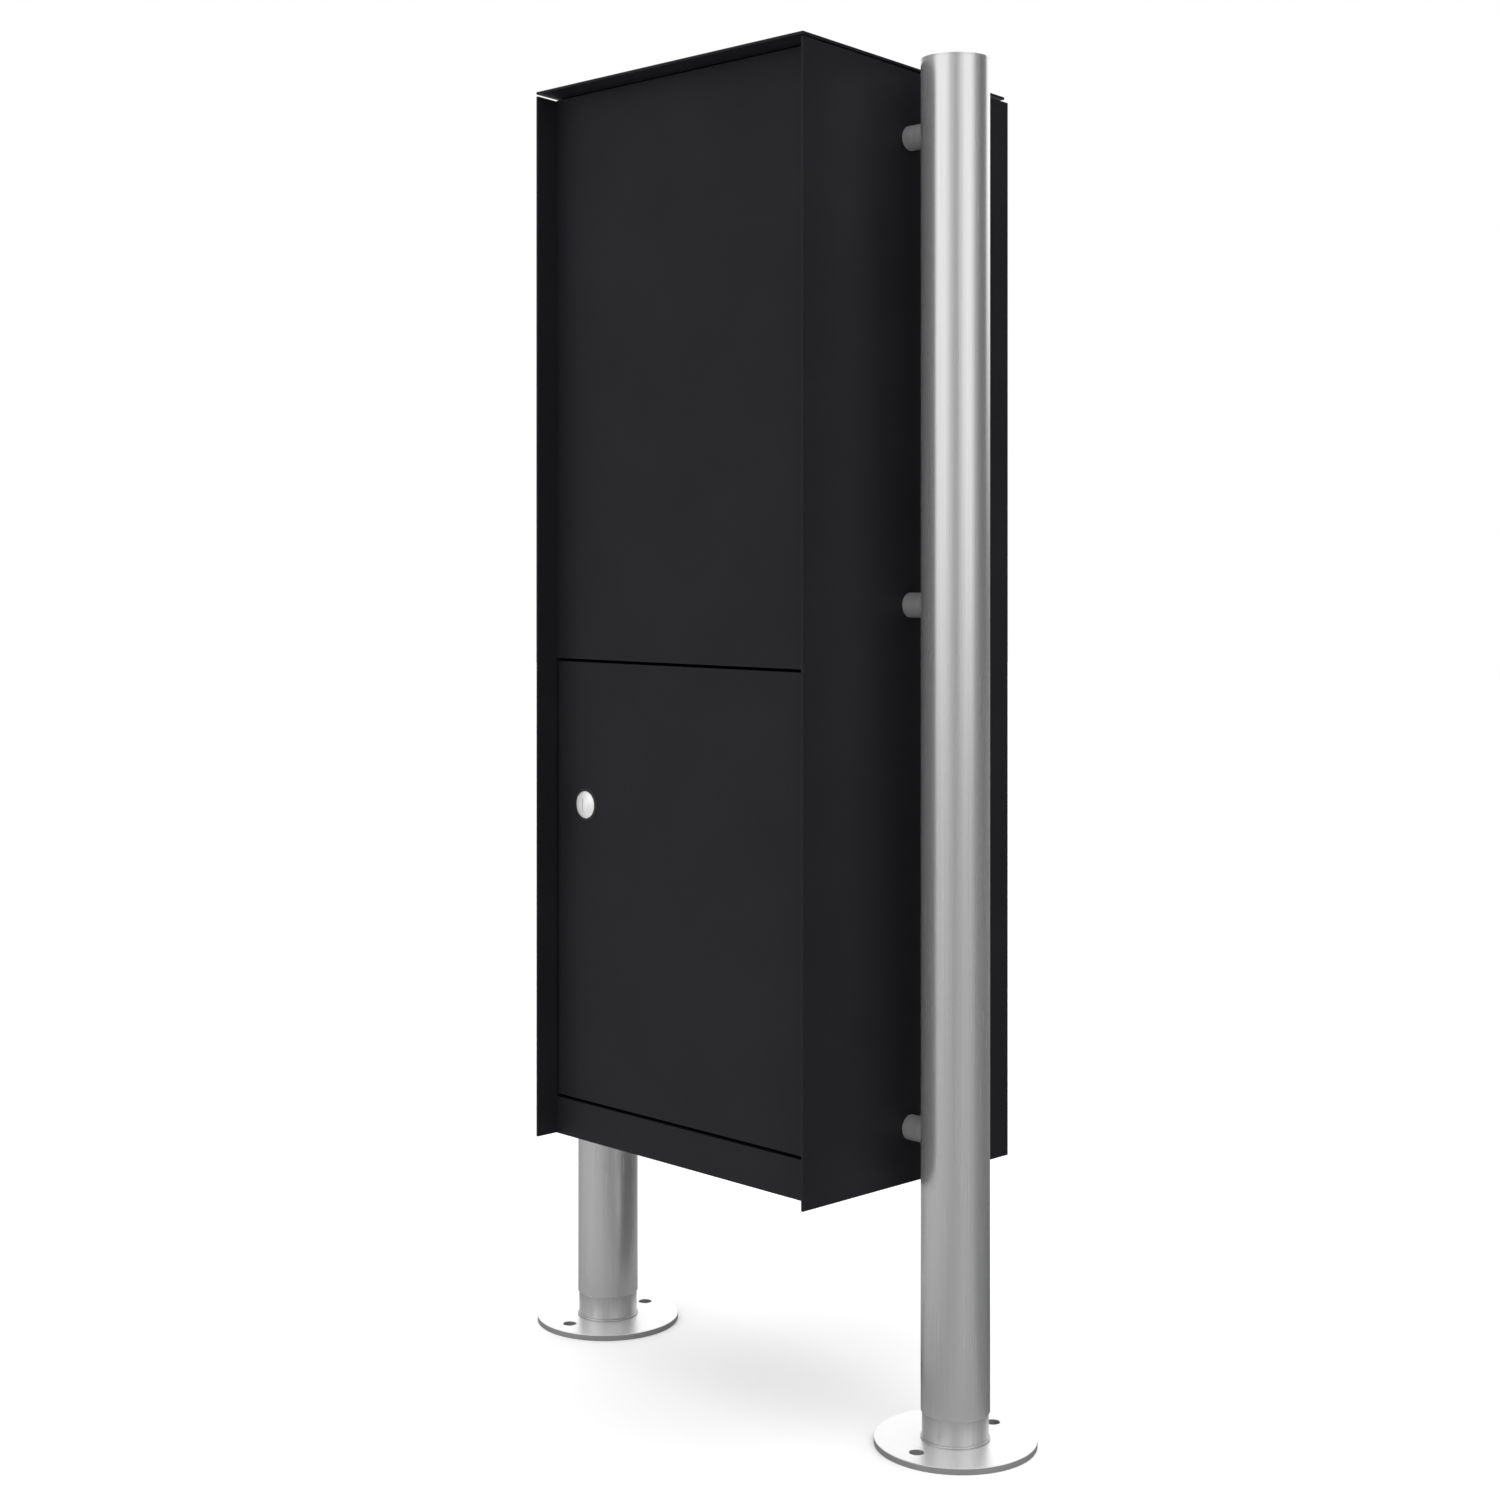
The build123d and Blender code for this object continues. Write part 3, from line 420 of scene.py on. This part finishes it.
RIM_EASE = 0.5 * MM
HOLE_EASE = 0.3 * MM
anchors = [m for m in frame["record"]["mounts"] if m["kind"] == "bolt_pattern"]
hole = anchors[0]["dims"]["hole_r_mm"] * MM
reach = anchors[0]["dims"]["spacing_y_mm"] / 2 * MM
ground_plate = brushed_steel("ground_plate", (40, 900, 400), 0.75, (0.32, 0.36),
                             ((0.89, 0.89, 0.89), (0.93, 0.93, 0.93)), 0.000002)
cut_edge = brushed_steel("cut_edge", (80, 80, 1500), 0.70, (0.36, 0.44),
                         ((0.40, 0.40, 0.40), (0.47, 0.47, 0.47)))
low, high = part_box("left_base_flange")
outer = (high.x - low.x) / 2
centre = middle("left_base_flange")
rings = [(outer, low.z), (outer, high.z - RIM_EASE), (outer - RIM_EASE * 0.3, high.z - RIM_EASE * 0.3),
         (outer - RIM_EASE, high.z)]
flange = turn_profile("flange", centre, rings, sides=192)
for end in (-reach, reach):
    drill = [(hole, low.z - 2 * MM), (hole, high.z - HOLE_EASE), (hole + 2 * HOLE_EASE, high.z + HOLE_EASE)]
    cut(flange, turn_profile("drill", (centre.x, end), drill, sides=48))
for disc in pair_of(smooth(flange), "base_flange", "root", "stainless", ground_plate):
    disc.data.materials.append(cut_edge)
    for face in disc.data.polygons:
        face.material_index = 1 if abs(face.normal.z) < 0.3 else 0


# ---- Standoffs ----
# Turned stainless sleeves, three a side, faced and eased at the casing's end and welded to the post, with
# plain square ends there where the real ones are saddle-cut. The casing's bolts screw into them from
# inside.
SLEEVE_EASE = 0.5 * MM
MIDDLE_SLEEVE = 726 * MM
turned = brushed_steel("turned_sleeve", (900, 40, 40), 0.55, (0.30, 0.38),
                       ((0.44, 0.44, 0.45), (0.52, 0.52, 0.52)))
low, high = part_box("right_standoffs")
radius = (high.y - low.y) / 2
rings = [(radius - SLEEVE_EASE, low.x), (radius, low.x + SLEEVE_EASE), (radius, high.x)]
sleeve = turn_profile("sleeve", (0, 0), rings, sides=64)
sleeve.rotation_euler = (0, math.radians(90), 0)
bpy.ops.object.transform_apply(location=True, rotation=True, scale=True)
sleeves = []
for up in (low.z + radius, MIDDLE_SLEEVE, high.z - radius):
    sleeves.append(copy_to(sleeve, "sleeve", (0, 0, up)))
bpy.data.objects.remove(sleeve)
bpy.ops.object.select_all(action="DESELECT")
for sleeve in sleeves:
    sleeve.select_set(True)
bpy.context.view_layer.objects.active = sleeves[0]
bpy.ops.object.join()
right_sleeves = smooth(sleeves[0])
right_sleeves.name = "right_sleeves"
left_sleeves = copy_to(right_sleeves, "left_sleeves", (0, 0, 0), half_turn=True)
settle(right_sleeves, "root", "stainless", turned, "right_standoffs")
settle(left_sleeves, "root", "stainless", turned, "left_standoffs")


# ---- Side walls ----
# Plain steel plates in a matt, faintly blue anthracite powder coat, with their cut edges eased.
# They run from below the floor to just under the roof, and their tops follow its slope.
COAT_DARK = (0.0126, 0.0121, 0.0148)
COAT_LIGHT = (0.0150, 0.0144, 0.0176)
powder_coat = finish("powder_coat", 0.0, (0.34, 0.40), (COAT_DARK, COAT_LIGHT), ((1, 1, 1), 9.0),
                     ((1, 1, 1), 160.0))
powder_coat.node_tree.nodes["Principled BSDF"].inputs["Specular IOR Level"].default_value = 0.14
relief(powder_coat, noise(powder_coat, (1, 1, 1), 900.0, 2.0), 0.00005, 0.25, 0.0006)
worn_edges(powder_coat, (0.020, 0.020, 0.023), 0.0008, 0.5, 45.0)


def plate(name, low, high):
    """A cube primitive made to reach from corner to corner, with its place in its mesh."""
    bpy.ops.object.select_all(action="DESELECT")
    bpy.ops.mesh.primitive_cube_add(size=1, location=(Vector(low) + Vector(high)) / 2)
    piece = bpy.context.object
    piece.name = name
    piece.scale = Vector(high) - Vector(low)
    bpy.ops.object.transform_apply(location=True, rotation=True, scale=True)
    return piece


def lower_corners(piece, picked, drop):
    """The vertices that pass the test go down by this much."""
    bpy.ops.object.mode_set(mode="EDIT")
    bpy.ops.mesh.select_mode(type="VERT")
    bpy.ops.mesh.select_all(action="DESELECT")
    bpy.ops.object.mode_set(mode="OBJECT")
    for corner in piece.data.vertices:
        corner.select = picked(corner.co)
    bpy.ops.object.mode_set(mode="EDIT")
    bpy.ops.transform.translate(value=(0, 0, -drop))
    bpy.ops.object.mode_set(mode="OBJECT")


def ease_edges(piece, width, segments=2):
    """Every edge is bevelled to a small round."""
    bevel = piece.modifiers.new("ease", "BEVEL")
    bevel.width = width
    bevel.segments = segments
    bevel.limit_method = "ANGLE"
    pick(piece)
    bpy.ops.object.modifier_apply(modifier=bevel.name)


ROOF_FALL = 19.9 / 270      # how far the roof drops over the casing's depth
WALL_EASE = 0.45 * MM
low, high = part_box("right_side_wall")
wall = plate("right_wall", low, high)
lower_corners(wall, lambda co: co.z > high.z - MM and co.y > 0, (high.y - low.y) * ROOF_FALL)
ease_edges(wall, WALL_EASE)
right_wall = smooth(wall)
wall_to_wall = middle("left_side_wall") - middle("right_side_wall")
left_wall = copy_to(right_wall, "left_wall", wall_to_wall)
settle(right_wall, "root", "coated_steel", powder_coat, "right_side_wall")
settle(left_wall, "root", "coated_steel", powder_coat, "left_side_wall")


# ---- Roof ----
# One thick plate laid flush over the walls on an open joint. It falls towards the hopper side and stops a
# little short of the walls' rear edges. Its weld studs, which go down into the roof angles, are not built
# on this plate.
ROOF_PLATE = 2.5 * MM
low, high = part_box("roof_panel")
roof = plate("roof_plate", (low.x, low.y, high.z - ROOF_PLATE), high)
lower_corners(roof, lambda co: co.y > 0, (high.y - low.y) * ROOF_FALL)
ease_edges(roof, WALL_EASE)
settle(smooth(roof), "root", "coated_steel", powder_coat, "roof_panel")


# ---- Front panels, rear panels, door and hopper flap ----
# Folded pans of 1.5 mm sheet: a flat face, and returns bent back along some of its sides on a small
# radius. Each is coated all over after folding.
SHEET = 1.5 * MM
PANEL_BEND = 0.6 * MM
LEAF_BEND = 0.9 * MM
JOINT_UNDER_ROOF = 1.4 * MM


def folded_pan(name, node, open_sides, bend, short=0.0):
    """A pan with the node's box, short of its top by a gap. The open sides have no sheet."""
    low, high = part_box(node)
    piece = plate(name, low, (high.x, high.y, high.z - short))
    bpy.ops.object.mode_set(mode="EDIT")
    bpy.ops.mesh.select_mode(type="FACE")
    bpy.ops.mesh.select_all(action="DESELECT")
    bpy.ops.object.mode_set(mode="OBJECT")
    for face in piece.data.polygons:
        face.select = any(face.normal.dot(Vector(side)) > 0.9 for side in open_sides)
    bpy.ops.object.mode_set(mode="EDIT")
    bpy.ops.mesh.delete(type="FACE")
    bpy.ops.object.mode_set(mode="OBJECT")
    wall = piece.modifiers.new("sheet", "SOLIDIFY")
    wall.thickness = SHEET
    wall.offset = -1
    bpy.ops.object.modifier_apply(modifier=wall.name)
    ease_edges(piece, bend, 3)
    return smooth(piece)


FRONT, BACK, TOP, BOTTOM = (0, -1, 0), (0, 1, 0), (0, 0, 1), (0, 0, -1)
LEFT, RIGHT = (-1, 0, 0), (1, 0, 0)
upper = folded_pan("front_upper_coated", "front_upper_panel", [BACK, TOP], PANEL_BEND,
                   short=JOINT_UNDER_ROOF)
settle(upper, "root", "coated_steel", powder_coat, "front_upper_panel")
rail = folded_pan("front_rail_coated", "front_bottom_rail", [BACK, BOTTOM, LEFT, RIGHT], PANEL_BEND)
settle(rail, "root", "coated_steel", powder_coat, "front_bottom_rail")
door = folded_pan("door_leaf_coated", "door_skin", [BACK], LEAF_BEND)
settle(door, "retrieval_door", "coated_steel", powder_coat, "door_skin")
flap = folded_pan("flap_leaf_coated", "flap_skin", [FRONT, BOTTOM], LEAF_BEND)
settle(flap, "deposit_hopper", "coated_steel", powder_coat, "flap_skin")
rear = folded_pan("rear_lower_coated", "rear_lower_panel", [FRONT, BOTTOM, LEFT, RIGHT], PANEL_BEND)
settle(rear, "root", "coated_steel", powder_coat, "rear_lower_panel")


# ---- Rear top rail ----
# A strip of the same sheet over the hopper flap, folded in and then down, so that a step stands
# behind the flap's top edge and the flap's rubber buttons close on it.
def folded_strip(name, x_low, x_high, line, outward, sheet, bend):
    """A strip from x_low to x_high, folded at the line's (y, z) points, with sheet behind it."""
    start = MM
    bpy.ops.object.select_all(action="DESELECT")
    y, z = line[0]
    bpy.ops.mesh.primitive_plane_add(size=1, location=((x_low + x_high) / 2, y + start / 2, z))
    piece = bpy.context.object
    piece.name = name
    piece.scale = (x_high - x_low, start, 1)
    bpy.ops.object.transform_apply(location=True, rotation=True, scale=True)
    bpy.ops.object.mode_set(mode="EDIT")
    bpy.ops.mesh.select_mode(type="EDGE")
    bpy.ops.mesh.select_all(action="DESELECT")
    bpy.ops.object.mode_set(mode="OBJECT")
    for edge in piece.data.edges:
        edge.select = all(piece.data.vertices[v].co.y > y + start / 2 for v in edge.vertices)
    bpy.ops.object.mode_set(mode="EDIT")
    next_y, next_z = line[1]
    bpy.ops.transform.translate(value=(0, next_y - y - start, next_z - z))
    for (y, z), (next_y, next_z) in zip(line[1:], line[2:]):
        bpy.ops.mesh.extrude_region_move(TRANSFORM_OT_translate={"value": (0, next_y - y, next_z - z)})
    bpy.ops.mesh.select_all(action="SELECT")
    bpy.ops.mesh.normals_make_consistent(inside=False)
    bpy.ops.object.mode_set(mode="OBJECT")
    if piece.data.polygons[0].normal.dot(Vector(outward)) < 0:
        piece.data.flip_normals()
    ease_edges(piece, bend, 5)
    wall = piece.modifiers.new("sheet", "SOLIDIFY")
    wall.thickness = sheet
    wall.offset = -1
    wall.use_even_offset = True
    bpy.ops.object.modifier_apply(modifier=wall.name)
    ease_edges(piece, 0.2 * MM)
    return smooth(piece)


STEP_H = 14 * MM
RAIL_BEND = 1.0 * MM
low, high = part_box("rear_top_rail")
step_face = low.y + SHEET
line = [(high.y, high.z - JOINT_UNDER_ROOF), (high.y, low.z + STEP_H), (step_face, low.z + STEP_H),
        (step_face, low.z)]
rear_rail = folded_strip("rear_rail_coated", low.x, high.x, line, BACK, SHEET, RAIL_BEND)
settle(rear_rail, "root", "coated_steel", powder_coat, "rear_top_rail")


# ---- Pull handle ----
# A grip folded from stainless strip: a plate screwed to the flap, a ledge, and a lip turned down for
# the fingers. The strip is brushed along its length.
GRIP_T = 2.0 * MM
GRIP_BEND = 2.6 * MM
LIP_H = 12 * MM
brushed_grip = brushed_steel("brushed_grip", (6, 700, 700), 0.80, (0.26, 0.32),
                             ((0.60, 0.60, 0.605), (0.68, 0.68, 0.68)))
low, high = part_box("pull_handle")
line = [(low.y, low.z), (low.y, high.z), (high.y, high.z), (high.y, high.z - LIP_H)]
grip = folded_strip("grip_strip", low.x, high.x, line, FRONT, GRIP_T, GRIP_BEND)
settle(grip, "deposit_hopper", "stainless", brushed_grip, "pull_handle")


# ---- Lock ----
# A cam lock with a domed, satin-chromed face. The rosette is fixed in the door and the plug, with
# its upright key slot, turns in the middle of it. A rubber gasket shows as a thin dark ring.
satin_chrome = finish("satin_chrome", 0.35, (0.32, 0.38), ((0.83, 0.83, 0.83), (0.89, 0.89, 0.88)),
                      ((1, 1, 1), 600.0), ((1, 1, 1), 1500.0))
relief(satin_chrome, noise(satin_chrome, (1, 1, 1), 900.0), 0.00001, 0.2, 0.0002)
worn_edges(satin_chrome, (0.62, 0.60, 0.56), 0.0004, 0.4, 200.0)
black_rubber = finish("black_rubber", 0.0, (0.55, 0.75), ((0.010, 0.010, 0.010), (0.018, 0.018, 0.018)),
                      ((1, 1, 1), 300.0), ((1, 1, 1), 900.0))
relief(black_rubber, noise(black_rubber, (1, 1, 1), 1200.0), 0.00005, 0.4, 0.0006)
worn_edges(black_rubber, (0.035, 0.035, 0.035), 0.0008, 0.6, 90.0)

lock_low, lock_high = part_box("lock_housing")
lock_at = middle("lock_housing")
rosette_r = (lock_high.x - lock_low.x) / 2
plug_r = (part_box("lock_plug")[1].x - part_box("lock_plug")[0].x) / 2
gasket_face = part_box("lock_gasket")[0].y
proud = gasket_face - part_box("lock_plug")[0].y
EDGE_H = 0.8 * MM
BARREL_R = 10.8 * MM
TAIL_R = 4 * MM
PLUG_FIT = 0.995            # the plug's share of its hole
KEY_SLOT = (1.3 * MM, 12.6 * MM, 6 * MM)


def dome_height(radius):
    """How far the face stands off the gasket at this radius."""
    rise = proud - EDGE_H
    ball = (rosette_r ** 2 + rise ** 2) / (2 * rise)
    return EDGE_H + math.sqrt(ball ** 2 - radius ** 2) - (ball - rise)


def face_forward(piece):
    """A piece turned about Z is laid over to face the front, on the lock's axis."""
    piece.rotation_euler = (math.radians(90), 0, 0)
    piece.location = (lock_at.x, gasket_face, lock_at.z)
    pick(piece)
    bpy.ops.object.transform_apply(location=True, rotation=True, scale=True)
    return piece


DOME_RINGS = 10
outward = [plug_r + (rosette_r - plug_r) * i / DOME_RINGS for i in range(DOME_RINGS + 1)]
barrel = gasket_face - lock_high.y
rings = [(BARREL_R, barrel), (BARREL_R, 0), (rosette_r - 0.2 * MM, 0), (rosette_r, 0.2 * MM)]
rings += [(r, dome_height(r)) for r in reversed(outward)]
rings += [(plug_r, dome_height(plug_r) - 3 * MM)]
rosette = face_forward(turn_profile("lock_rosette", (0, 0), rings, sides=128))
settle(smooth(rosette), "retrieval_door", "lock_chrome", satin_chrome, "lock_housing")

inward = [plug_r * PLUG_FIT * i / DOME_RINGS for i in range(DOME_RINGS, 0, -1)]
tail = gasket_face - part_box("lock_plug")[1].y
rings = [(TAIL_R, tail), (TAIL_R, barrel), (plug_r * PLUG_FIT, barrel)]
rings += [(r, dome_height(r)) for r in inward]
plug = face_forward(turn_profile("lock_plug_face", (0, 0), rings, sides=128))
half = Vector((KEY_SLOT[0] / 2, KEY_SLOT[2], KEY_SLOT[1] / 2))
nose = Vector((lock_at.x, gasket_face - proud, lock_at.z))
cut(plug, plate("key_slot", nose - half, nose + half))
settle(smooth(plug), "lock_plug", "lock_chrome", satin_chrome, "lock_plug")

gasket_r = (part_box("lock_gasket")[1].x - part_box("lock_gasket")[0].x) / 2
gasket_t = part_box("lock_gasket")[1].y - gasket_face
rings = [(gasket_r, -gasket_t), (gasket_r, -0.4 * MM), (gasket_r - 0.4 * MM, 0), (BARREL_R, 0)]
gasket = face_forward(turn_profile("lock_gasket_ring", (0, 0), rings, sides=96))
settle(smooth(gasket), "retrieval_door", "black_rubber", black_rubber, "lock_gasket")


# ---- Floor mat ----
# A loose moulded rubber mat in the bottom of the compartment, with rounded corners and low ribs
# across it, which the parcels land on.
RIB_H = 1.0 * MM
RIB_W = 3.0 * MM
RIB_PITCH = 7.0 * MM
MAT_BORDER = 9.0 * MM
MAT_CORNER = 6.0 * MM
low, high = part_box("floor_mat")
mat = plate("ribbed_mat", low, (high.x, high.y, high.z - RIB_H))
bpy.ops.object.mode_set(mode="EDIT")
bpy.ops.mesh.select_mode(type="EDGE")
bpy.ops.mesh.select_all(action="DESELECT")
bpy.ops.object.mode_set(mode="OBJECT")
for edge in mat.data.edges:
    ends = [mat.data.vertices[v].co for v in edge.vertices]
    edge.select = abs(ends[0].z - ends[1].z) > MM
bpy.ops.object.mode_set(mode="EDIT")
bpy.ops.mesh.bevel(offset=MAT_CORNER, segments=6, affect="EDGES")
bpy.ops.object.mode_set(mode="OBJECT")
ease_edges(mat, 0.4 * MM)
rib = plate("rib", (low.x + MAT_BORDER, low.y + MAT_BORDER, high.z - RIB_H - 0.3 * MM),
            (high.x - MAT_BORDER, low.y + MAT_BORDER + RIB_W, high.z))
ease_edges(rib, 0.45 * MM)
row = rib.modifiers.new("row", "ARRAY")
row.use_relative_offset = False
row.use_constant_offset = True
row.constant_offset_displace = (0, RIB_PITCH, 0)
row.count = int((high.y - low.y - 2 * MAT_BORDER - RIB_W) / RIB_PITCH) + 1
bpy.ops.object.modifier_apply(modifier=row.name)
pick(mat)
rib.select_set(True)
bpy.ops.object.join()
settle(smooth(mat), "root", "black_rubber", black_rubber, "floor_mat")


# ---- Everything whose CAD shape is already right ----
# Folded brackets, the hopper's inner sheets, hinge, fasteners and rubber keep their own meshes and
# take the finish of their record's slot.
zinc = finish("zinc_plate", 1.0, (0.28, 0.42), ((0.42, 0.43, 0.44), (0.56, 0.56, 0.55)),
              ((1, 1, 1), 120.0), ((1, 1, 1), 700.0))
relief(zinc, noise(zinc, (1, 1, 1), 1500.0), 0.00003, 0.3, 0.0003)
worn_edges(zinc, (0.30, 0.30, 0.30), 0.0005, 0.6, 150.0)
bush_plastic = finish("bush_plastic", 0.0, (0.35, 0.5), ((0.55, 0.54, 0.50), (0.66, 0.65, 0.61)),
                      ((1, 1, 1), 400.0), ((1, 1, 1), 900.0))
slot_finish = {"coated_steel": powder_coat, "stainless": turned, "zinc_steel": zinc,
               "lock_chrome": satin_chrome, "black_rubber": black_rubber, "bush_plastic": bush_plastic}
for part in frame["record"]["subparts"]:
    kept = frame["nodes"][part["node"]]
    kept.data.materials.clear()
    kept.data.materials.append(slot_finish[part["material_slot"]])
